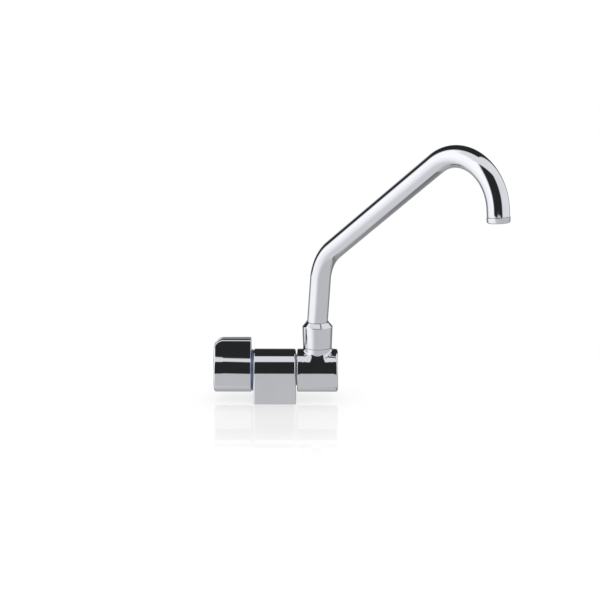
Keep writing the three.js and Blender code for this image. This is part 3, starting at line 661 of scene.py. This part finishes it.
def elbow_skin():
    """The outer shape. The barrel's upper half is rings that spread from the boss to a square border."""
    left = elbow_low.x + ELBOW_LIP - SPOUT_X
    right = elbow_high.x - ELBOW_EDGE - SPOUT_X
    spread_steps = 12
    angles = even_angles(AROUND)
    neck_top = elbow_high.z - AXIS_Z
    rings = []
    for z, radius in (
        (neck_top, BOSS_NECK_R - BOSS_NECK_EDGE),
        (neck_top - BOSS_NECK_EDGE, BOSS_NECK_R),
        (BOSS_TOP, BOSS_NECK_R),
        (BOSS_TOP, BOSS_R),
    ):
        rings.append([Vector((radius * math.cos(a), radius * math.sin(a), z)) for a in angles])
    rings += [list(ring) for ring in zip(*(boss_foot(a) for a in angles))]
    feet = rings[-1]
    border = []
    for a in angles:
        longest = max(abs(math.cos(a)), abs(math.sin(a)))
        u, v = math.cos(a) / longest, math.sin(a) / longest
        border.append((u * (right if u > 0 else -left), v * math.pi / 2))
    for k in range(1, spread_steps + 1):
        share = k / spread_steps
        ring = []
        for foot, (x, roll) in zip(feet, border):
            foot_roll = math.asin(foot.y / BODY_R)
            here = foot_roll + (roll - foot_roll) * share
            ring.append(
                Vector((foot.x + (x - foot.x) * share, BODY_R * math.sin(here), BODY_R * math.cos(here)))
            )
        rings.append(ring)

    vertices = [v for ring in rings for v in ring]
    faces = [tuple(reversed(range(AROUND)))]
    for k in range(len(rings) - 1):
        for i in range(AROUND):
            j = (i + 1) % AROUND
            a, b = k * AROUND, (k + 1) * AROUND
            faces.append((a + i, a + j, b + j, b + i))

    # the lower half joins the patch's back edge to its front edge, under the barrel
    last = (len(rings) - 1) * AROUND
    eighth = AROUND // 8
    back = [last + i for i in range(eighth, 3 * eighth + 1)]  # at +y, from right to left
    front = [last + i for i in range(7 * eighth, 5 * eighth - 1, -1)]  # at -y, from right to left
    columns = [back]
    for k in range(1, LOWER):
        roll = math.pi / 2 + math.pi * k / LOWER
        column = []
        for i in back:
            column.append(len(vertices))
            vertices.append(Vector((vertices[i].x, BODY_R * math.sin(roll), BODY_R * math.cos(roll))))
        columns.append(column)
    columns.append(front)
    for a, b in zip(columns, columns[1:]):
        for i in range(len(back) - 1):
            faces.append((a[i], a[i + 1], b[i + 1], b[i]))

    # each end's border, all the way round, then its rounded edge and its flat face
    right_border = [last + i for i in range(-eighth, eighth + 1)]
    right_border = [i if i >= last else i + AROUND for i in right_border]  # from -y over the top to +y
    right_border += [column[0] for column in columns[1:-1]]
    left_border = [last + i for i in range(5 * eighth, 3 * eighth - 1, -1)]
    left_border += [column[-1] for column in columns[1:-1]]
    for border_loop, edge, x_end, sign in (
        (right_border, ELBOW_EDGE, elbow_high.x - SPOUT_X, 1),
        (left_border, ELBOW_LIP, elbow_low.x - SPOUT_X, -1),
    ):
        before = border_loop
        steps = 6
        for k in range(1, steps + 1):
            a = math.pi / 2 * k / steps
            radius = BODY_R - edge * (1 - math.cos(a))
            x = x_end - sign * edge * (1 - math.sin(a))
            here = []
            for i in border_loop:
                here.append(len(vertices))
                spoke = Vector((0, vertices[i].y, vertices[i].z)) * (radius / BODY_R)
                vertices.append(Vector((x, spoke.y, spoke.z)))
            for i in range(len(here)):
                j = (i + 1) % len(here)
                faces.append((before[i], before[j], here[j], here[i]))
            before = here
        faces.append(tuple(before))
    shift = Vector((SPOUT_X, 0, AXIS_Z))
    return new_object("elbow_casting", [v + shift for v in vertices], faces)


def cut_pivot_bore(elbow):
    """The bore along the axis: two bush pockets, the running bore, the water chamber and the end recess."""
    spigot_low, spigot_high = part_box("pivot_spigot")
    run_r = (spigot_high.z - spigot_low.z) / 2 + GAP
    left_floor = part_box("pivot_bush_left")[1].x + GAP
    right_bush_low, right_bush_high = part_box("pivot_bush_right")
    right_floor = right_bush_low.x - GAP
    recess_r = cap_high.z - AXIS_Z + GAP
    recess_floor = right_bush_high.x + 0.2 * MM
    chamber_left, chamber_right = SPOUT_X - CHAMBER_HALF, SPOUT_X + CHAMBER_HALF
    bore = [
        (elbow_low.x - THROUGH, POCKET_R),
        (left_floor, POCKET_R),
        (left_floor, run_r),
        (chamber_left, run_r),
        (chamber_left, CHAMBER_R),
        (chamber_right, CHAMBER_R),
        (chamber_right, run_r),
        (right_floor, run_r),
        (right_floor, POCKET_R),
        (recess_floor, POCKET_R),
        (recess_floor, recess_r),
        (elbow_high.x - 0.3 * MM, recess_r),
        (elbow_high.x + 0.2 * MM, recess_r + 0.5 * MM),
    ]
    boolean(elbow, turned_x("bore", bore, SIDES, False))


def cut_riser(elbow):
    """The stepped bore up the boss: the waterway, the tail's bore and its flange's."""
    tail_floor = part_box("spout_tail")[0].z - AXIS_Z - GAP
    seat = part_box("spout_bush")[0].z - AXIS_Z - FLANGE_TALL
    riser = [
        (THROUGH, RISER_R),
        (tail_floor, RISER_R),
        (tail_floor, TAIL_BORE_R),
        (seat, TAIL_BORE_R),
        (seat, FLANGE_BORE_R),
        (elbow_high.z - AXIS_Z + THROUGH, FLANGE_BORE_R),
    ]
    boolean(elbow, turned_z("riser", riser, FINE, False))


def cut_stop_slot(elbow):
    """The arc-shaped slot in the elbow's inner face that the stop pin runs in."""
    pin_low, pin_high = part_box("stop_pin")
    pin_y = (pin_low.y + pin_high.y) / 2
    pin_z = (pin_low.z + pin_high.z) / 2 - AXIS_Z
    reach = math.hypot(pin_y, pin_z)
    end = math.atan2(pin_z, pin_y)
    start = end - math.pi / 2
    half = PIN_HOLE_R
    outline = arc_points(0, 0, reach + half, start, end, 24)
    outline += arc_points(pin_y, pin_z, half, end, end + math.pi, 8)[1:-1]
    outline += arc_points(0, 0, reach - half, end, start, 24)
    first_y, first_z = reach * math.cos(start), reach * math.sin(start)
    outline += arc_points(first_y, first_z, half, start + math.pi, start + 2 * math.pi, 8)[1:-1]
    depths = (elbow_low.x - THROUGH, pin_high.x + GAP)
    boolean(elbow, loft("slot", [[Vector((x, y, AXIS_Z + z)) for y, z in outline] for x in depths]))


def make_elbow():
    elbow = elbow_skin()
    cut_pivot_bore(elbow)
    cut_riser(elbow)
    cut_stop_slot(elbow)
    show(elbow, "elbow", CHROME, "chrome", "swivel_elbow")


make_elbow()


CAP_FACE = 1.1 * MM  # thickness of its end face
CAP_WALL = 1.3 * MM
CAP_BEVEL_LONG = 0.35 * MM
CAP_BEVEL_DEEP = 1.6 * MM
CAP_MIDDLE_R = 0.2 * MM  # of the flat that closes the face at the axis


def make_end_cap():
    """The round cap that closes the elbow's end: a thin face with a short wall."""
    outside = cap_high.z - AXIS_Z
    right = cap_high.x
    profile = rounded(
        [
            (right - CAP_FACE, CAP_MIDDLE_R, 0),
            (right - CAP_FACE, outside - CAP_WALL, 0.2 * MM),
            (cap_low.x, outside - CAP_WALL, 0),
            (cap_low.x, outside, 0.2 * MM),
            (right - CAP_BEVEL_LONG, outside, 0.35 * MM),
            (right, outside - CAP_BEVEL_DEEP, 1.2 * MM),
            (right, CAP_MIDDLE_R, 0),
        ]
    )
    show(turned_x("end_cap", profile, SIDES, False), "elbow", CHROME, "chrome", "elbow_end_cap")


make_end_cap()


COLLAR_REACH = 0.15 * MM  # that its foot goes below the CAD's, down towards the boss
COLLAR_SHOULDER = 3.2 * MM  # from its top down to its widest ring
COLLAR_LIP = 7 * MM  # from its top down to its thread
COLLAR_HOLE_R = 8.1 * MM  # for the tube
COLLAR_RIM = 0.5 * MM
COLLAR_THREAD_R = 10.1 * MM


def make_collar():
    """The cone-shaped nut that holds the spout in the boss. Its thread is a plain bore."""
    foot = collar_low.z - AXIS_Z - COLLAR_REACH
    top = collar_high.z - AXIS_Z
    widest = (collar_high.x - collar_low.x) / 2
    profile = rounded(
        [
            (foot, BOSS_R, 0.25 * MM),
            (top - COLLAR_SHOULDER, widest, 0.7 * MM),
            (top, COLLAR_HOLE_R + COLLAR_RIM, 0.35 * MM),
            (top, COLLAR_HOLE_R, 0.1 * MM),
            (top - COLLAR_LIP, COLLAR_HOLE_R, 0),
            (top - COLLAR_LIP, COLLAR_THREAD_R, 0),
            (foot, COLLAR_THREAD_R, 0),
        ]
    )
    show(turned_z("collar", profile), "elbow", CHROME, "chrome", "collar_nut")


make_collar()


# ---- Spout ----

TUBE_R = 7.8 * MM
TUBE_IN = 6.8 * MM
TUBE_UPRIGHT = 8.3 * MM
LEAN = 5.2  # degrees that the leg leans towards the outlet
LEAN_R = 40 * MM
LEG = 32.1 * MM
BEND_R = 34.5 * MM
SLOPE = 37.0  # of the long stretch, above level
DIAGONAL = 122.5 * MM
DROP = 85.3  # of the outlet, below level
END_STRAIGHT = 5.4 * MM
TUBE_EDGE = 0.25 * MM
REST_SWIVEL = math.radians(-45)


def spout_stations():
    """The tube's centre line as (point, heading), in the spout's own plane.

    A point is (reach, height over the axis). A heading is in degrees above level.
    """
    tube_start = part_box("spout_bush")[0].z - AXIS_Z
    at = Vector((0.0, tube_start))
    heading = 90.0
    stations = []

    def along():
        return Vector((math.cos(math.radians(heading)), math.sin(math.radians(heading))))

    def straight(length, steps=1):
        nonlocal at
        for _ in range(steps):
            at = at + along() * (length / steps)
            stations.append((at.copy(), heading))

    def bend(radius, turn):
        nonlocal at, heading
        steps = max(3, round(turn / 2))  # of about 2 degrees each
        for _ in range(steps):
            before = along()
            heading -= turn / steps
            chord = 2 * radius * math.sin(math.radians(turn / steps / 2))
            at = at + (before + along()).normalized() * chord
            stations.append((at.copy(), heading))

    stations.append((at.copy(), heading))
    straight(TUBE_UPRIGHT)
    bend(LEAN_R, LEAN)
    straight(LEG, 6)
    bend(BEND_R, 90 - LEAN - SLOPE)
    straight(DIAGONAL, 20)
    bend(BEND_R, SLOPE + DROP)
    straight(END_STRAIGHT, 2)
    return stations


STATIONS = spout_stations()


def spout_matrix():
    """From the spout's own frame, reach along X and height along Z, to the part's frame."""
    return Matrix.Translation((SPOUT_X, 0, AXIS_Z)) @ Matrix.Rotation(REST_SWIVEL, 4, "Z")


def make_tube():
    """The bent tube, open at both ends, with a small rounded edge at the outlet."""
    place = spout_matrix()

    def section(station, radius):
        (reach, height), heading = station
        across = Vector((-math.sin(math.radians(heading)), 0, math.cos(math.radians(heading))))
        middle = Vector((reach, 0, height))
        side = Vector((0, 1, 0))
        return [
            place @ (middle + radius * (math.cos(a) * across + math.sin(a) * side)) for a in even_angles(FINE)
        ]

    last, heading = STATIONS[-1]
    forward = Vector((math.cos(math.radians(heading)), math.sin(math.radians(heading))))
    outer = [section(s, TUBE_R) for s in STATIONS[:-1]]
    outer.append(section((last - forward * TUBE_EDGE, heading), TUBE_R))
    outer.append(section((last - forward * TUBE_EDGE * 0.3, heading), TUBE_R - TUBE_EDGE * 0.3))
    outer.append(section((last, heading), TUBE_R - TUBE_EDGE))
    inner = [section(s, TUBE_IN) for s in reversed(STATIONS)]
    show(loft("tube", outer + inner, True), "spout", CHROME, "chrome", "spout_tube")


make_tube()


# Lengths of the outlet ring are from the tube's end: out of the tube, or up into it for the plug.
OUTLET_R = 8.2 * MM
OUTLET_LONG = 4.2 * MM
OUTLET_TAPER = 0.4 * MM
OUTLET_BORE_R = 4.7 * MM
OUTLET_JOINT = 0.12 * MM  # gap between tube and ring
MOUTH_R = 6.2 * MM
MOUTH_FLOOR = 1.6 * MM
PLUG_LONG = 6 * MM
PLUG_R = TUBE_IN - GAP
PLUG_GROOVE_R = 5.4 * MM  # of the O-ring
PLUG_GROOVE_FAR = 4.4 * MM
PLUG_GROOVE_NEAR = 2.8 * MM


def make_outlet():
    """A ring on the tube's end with a plug inside the tube, modelled along +Z out of the tube."""
    (reach, height), heading = STATIONS[-1]
    outward_angle = math.radians(90 - heading)
    place = spout_matrix() @ Matrix.Translation((reach, 0, height)) @ Matrix.Rotation(outward_angle, 4, "Y")
    profile = rounded(
        [
            (-PLUG_LONG, OUTLET_BORE_R, 0),
            (-PLUG_LONG, PLUG_R, 0),
            (-PLUG_GROOVE_FAR, PLUG_R, 0),
            (-PLUG_GROOVE_FAR, PLUG_GROOVE_R, 0),
            (-PLUG_GROOVE_NEAR, PLUG_GROOVE_R, 0),
            (-PLUG_GROOVE_NEAR, PLUG_R, 0),
            (OUTLET_JOINT, PLUG_R, 0),
            (OUTLET_JOINT, OUTLET_R, 0.25 * MM),
            (OUTLET_LONG, OUTLET_R - OUTLET_TAPER, 1.2 * MM),
            (OUTLET_LONG, MOUTH_R, 0.3 * MM),
            (MOUTH_FLOOR, MOUTH_R, 0),
            (MOUTH_FLOOR, OUTLET_BORE_R, 0),
        ]
    )
    angles = even_angles(FINE)
    loops = [
        [place @ Vector((radius * math.cos(a), radius * math.sin(a), z)) for a in angles]
        for z, radius in profile
    ]
    show(loft("outlet_nozzle", loops, True), "spout", CHROME, "chrome", "outlet_ring")


make_outlet()


# ---- Floor, light and camera ----


FLOOR_HALF = 10.0
FLOOR_GREYS = (0.31, 0.32)  # of its paint, which is very slightly mottled
FLOOR_GLOW = 0.66
MIRROR_SHARE = 0.14  # strength of the mirror image close to the tap
MIRROR_FADE = (0.08, 0.15)  # metres from the block over which it fades away


def make_floor():
    """A white light table under clear glass: soft shadows and a weak mirror image of the tap."""
    half = FLOOR_HALF
    corners = [(-half, -half, 0), (half, -half, 0), (half, half, 0), (-half, half, 0)]
    floor = new_object("floor", corners, [(0, 1, 2, 3)])
    material = bpy.data.materials.new("white_table")
    material.use_nodes = True
    tree = material.node_tree
    tree.nodes.clear()
    n = Nodes(tree)
    place = n.add("ShaderNodeTexCoord").outputs["Object"]
    mottle = n.noise(place, 6.0, 3.0)
    greys = n.ramp(mottle, [(0.3, grey(FLOOR_GREYS[0])), (0.7, grey(FLOOR_GREYS[1]))])
    paint = n.add("ShaderNodeBsdfDiffuse", {"Color": greys})
    glow = n.add("ShaderNodeEmission", {"Color": (1, 1, 1, 1), "Strength": FLOOR_GLOW})
    lit = n.add("ShaderNodeAddShader", {0: paint, 1: glow})
    gloss = n.add("ShaderNodeBsdfGlossy", {"Color": (1, 1, 1, 1), "Roughness": 0.0})
    distance = n.add("ShaderNodeVectorMath", {0: place}, operation="LENGTH").outputs["Value"]
    fade = n.spread(distance, *MIRROR_FADE, MIRROR_SHARE, 0.0)
    surface = n.add("ShaderNodeMixShader", {0: fade, 1: lit, 2: gloss})
    n.add("ShaderNodeOutputMaterial", {"Surface": surface})
    floor.data.materials.append(material)
    floor.visible_glossy = False


# Brightness of the studio's parts
DARK = 0.035
LEFT_PANEL = 1.75
RIGHT_PANEL = 1.27
OVERHEAD = 1.25
BACKDROP = 1.1
TABLE = 0.87
TABLE_SHADE = 0.32
FAR_TABLE = 0.5
NEAR_GLOW = 0.75  # added to the table on the left, under the panel, near the horizon
LOW_GLOW = 0.2  # the same, further down
SWEEP = 1.05  # what the floor mirrors
SEEN = 1.15  # what the camera sees behind the tap

# Where they are, in degrees. Four edges are: starts, full, still full, gone.
LEFT_SIDE = (-125, -112, -58, -45)
RIGHT_SIDE = (27, 38, 128, 141)
OVERHEAD_BAND = (56.5, 60, 90, 94)
GLOW_SIDE = (-132, -115, -60, -18)
SHADE_SIDE = (106, 134, 140, 168)
TABLE_EDGE = (-10, -7.5)
TABLE_LIFT = 4.0  # that the table's edge is higher straight in front
STUDIO_TURN = 3.0  # that the whole studio is turned towards +X


def studio_world():
    """The studio by direction: a panel on each side, one overhead, dark between them, a white table below.

    Directions are in degrees: height is over the horizon, turn is from the user's side towards +X, and
    over is up from the user's side and on over the top.
    """
    world = bpy.data.worlds.new("studio")
    bpy.context.scene.world = world
    world.use_nodes = True
    tree = world.node_tree
    tree.nodes.clear()
    n = Nodes(tree)
    direction = n.add("ShaderNodeTexCoord").outputs["Generated"]
    x, y, z = n.add("ShaderNodeSeparateXYZ", {0: direction}).outputs
    towards_user = n.math("MULTIPLY", y, -1.0)
    turn = n.math("SUBTRACT", n.math("DEGREES", n.math("ARCTAN2", x, towards_user)), STUDIO_TURN)
    height = n.math("DEGREES", n.math("ARCSINE", z))

    def rise(value, start, end):
        inputs = {"Value": value, "From Min": start, "From Max": end}
        return n.add("ShaderNodeMapRange", inputs, interpolation_type="SMOOTHSTEP")

    def fall(value, start, end):
        return n.math("SUBTRACT", 1.0, rise(value, start, end))

    def both(*masks):
        product = masks[0]
        for mask in masks[1:]:
            product = n.math("MULTIPLY", product, mask)
        return product

    def within(value, edges):
        start, full, end, gone = edges
        return both(rise(value, start, full), fall(value, end, gone))

    def blend(mask, under, over):
        return n.add("ShaderNodeMix", {0: mask, 2: under, 3: over}, data_type="FLOAT")

    # Above the table: the two side panels, the bright wall behind the tap, and the panel overhead.
    left_level = blend(rise(height, 38, 60), LEFT_PANEL, OVERHEAD)
    walls = blend(within(turn, LEFT_SIDE), DARK, left_level)
    walls = blend(within(turn, RIGHT_SIDE), walls, RIGHT_PANEL)
    away = n.math("ABSOLUTE", turn)
    walls = blend(both(rise(away, 145, 160), fall(height, 0, 22)), walls, BACKDROP)
    over = n.math("DEGREES", n.math("ARCTAN2", z, towards_user))
    walls = blend(both(within(over, OVERHEAD_BAND), rise(height, 30, 50)), walls, OVERHEAD)

    # The table: brighter on the left, dimmer behind the tap, and shaded at the back right and the back.
    glow = both(within(turn, GLOW_SIDE), blend(rise(height, -55, -12), LOW_GLOW, NEAR_GLOW))
    table = n.math("ADD", TABLE, glow)
    below = n.math("MULTIPLY", over, -1.0)
    far_table = blend(rise(height, -55, -35), rise(below, 85, 150), rise(away, 140, 162))
    table = blend(far_table, table, FAR_TABLE)
    table = blend(within(turn, SHADE_SIDE), table, TABLE_SHADE)
    table = blend(both(rise(away, 124, 138), rise(height, -28, -20)), table, TABLE_SHADE)
    above_table = n.math("SUBTRACT", height, blend(fall(away, 12, 22), 0.0, TABLE_LIFT))
    level = blend(rise(above_table, *TABLE_EDGE), table, walls)

    # Only reflections in the chrome show the studio. Everything else sees plain white.
    path = n.add("ShaderNodeLightPath").outputs
    reflected = n.add("ShaderNodeBackground", {"Color": (0.98, 0.99, 1.0, 1), "Strength": level})
    sweep = n.add("ShaderNodeBackground", {"Color": (1, 1, 1, 1), "Strength": SWEEP})
    mirrored = n.add("ShaderNodeMixShader", {0: path["Is Singular Ray"], 1: reflected, 2: sweep})
    seen = n.add("ShaderNodeBackground", {"Color": (1, 1, 1, 1), "Strength": SEEN})
    mixed = n.add("ShaderNodeMixShader", {0: path["Is Glossy Ray"], 1: seen, 2: mirrored})
    n.add("ShaderNodeOutputWorld", {"Surface": mixed})


CAMERA_DISTANCE = 1.24
CAMERA_YAW = math.radians(-0.4)
CAMERA_PITCH = math.radians(13.0)
CAMERA_LENS = 97.9  # millimetres
CAMERA_SENSOR = 36.0  # millimetres
AIM = (-13.2 * MM, 53.2 * MM)  # from the elbow's centre, to the right and up in the view


def make_camera():
    """A long lens from the user's side, looking a little down on the tap."""
    level = math.cos(CAMERA_PITCH)
    forward = Vector(
        (math.sin(CAMERA_YAW) * level, math.cos(CAMERA_YAW) * level, -math.sin(CAMERA_PITCH))
    )
    right = Vector((math.cos(CAMERA_YAW), -math.sin(CAMERA_YAW), 0))
    up = right.cross(forward)
    aim = Vector((SPOUT_X, 0, AXIS_Z)) + right * AIM[0] + up * AIM[1]
    data = bpy.data.cameras.new("camera")
    data.lens = CAMERA_LENS
    data.sensor_width = CAMERA_SENSOR
    camera = bpy.data.objects.new("camera", data)
    camera.matrix_world = Matrix.Translation(aim - forward * CAMERA_DISTANCE) @ Matrix(
        (right, up, -forward)
    ).transposed().to_4x4()
    bpy.context.scene.collection.objects.link(camera)
    bpy.context.scene.camera = camera


make_floor()
studio_world()
make_camera()
bpy.context.scene.view_settings.view_transform = "Standard"
